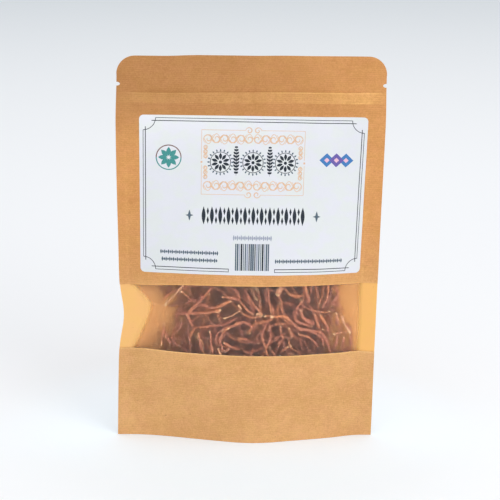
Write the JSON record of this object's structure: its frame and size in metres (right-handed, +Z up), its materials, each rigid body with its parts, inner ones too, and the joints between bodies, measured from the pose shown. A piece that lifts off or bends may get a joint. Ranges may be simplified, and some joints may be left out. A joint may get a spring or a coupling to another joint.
{
  "type": "pouch of dried cordyceps",
  "caption": "Stand-up kraft pouch with a label, a zip and a frosted strip window, filled with a tangle of dried cordyceps fruiting bodies.",
  "frame": {"origin": "middle of the base, on the surface that the pouch stands on", "axes": "+Z up along the pouch's height, -Y out of the front wall with the window and label, +X to the right seen from the front"},
  "size_m": [0.152, 0.0317, 0.224],
  "materials": {
    "kraft_paper": "matte",
    "matt_film": "satin",
    "label_paper": "satin",
    "zip_plastic": "satin",
    "dried_fungus": "matte"
  },
  "bodies": {
    "root": {"back_panel": "kraft_paper", "bottom_gusset": "kraft_paper", "cordyceps_01": "dried_fungus", "cordyceps_02": "dried_fungus", "cordyceps_03": "dried_fungus", "cordyceps_04": "dried_fungus", "cordyceps_05": "dried_fungus", "cordyceps_06": "dried_fungus", "cordyceps_07": "dried_fungus", "cordyceps_08": "dried_fungus", "cordyceps_09": "dried_fungus", "cordyceps_10": "dried_fungus", "cordyceps_11": "dried_fungus", "cordyceps_12": "dried_fungus", "cordyceps_13": "dried_fungus", "cordyceps_14": "dried_fungus", "cordyceps_15": "dried_fungus", "cordyceps_16": "dried_fungus", "cordyceps_17": "dried_fungus", "cordyceps_18": "dried_fungus", "cordyceps_19": "dried_fungus", "cordyceps_20": "dried_fungus", "cordyceps_21": "dried_fungus", "cordyceps_22": "dried_fungus", "cordyceps_23": "dried_fungus", "cordyceps_24": "dried_fungus", "cordyceps_25": "dried_fungus", "cordyceps_26": "dried_fungus", "cordyceps_27": "dried_fungus", "cordyceps_28": "dried_fungus", "cordyceps_29": "dried_fungus", "cordyceps_30": "dried_fungus", "cordyceps_31": "dried_fungus", "cordyceps_32": "dried_fungus", "cordyceps_33": "dried_fungus", "cordyceps_34": "dried_fungus", "cordyceps_35": "dried_fungus", "cordyceps_36": "dried_fungus", "cordyceps_37": "dried_fungus", "cordyceps_pile": "dried_fungus", "front_panel_lower": "kraft_paper", "front_panel_upper": "kraft_paper", "label": "label_paper", "window_film": "matt_film", "zip_groove_strip": "zip_plastic", "zip_rib_strip": "zip_plastic"}
  },
  "joints": []
}
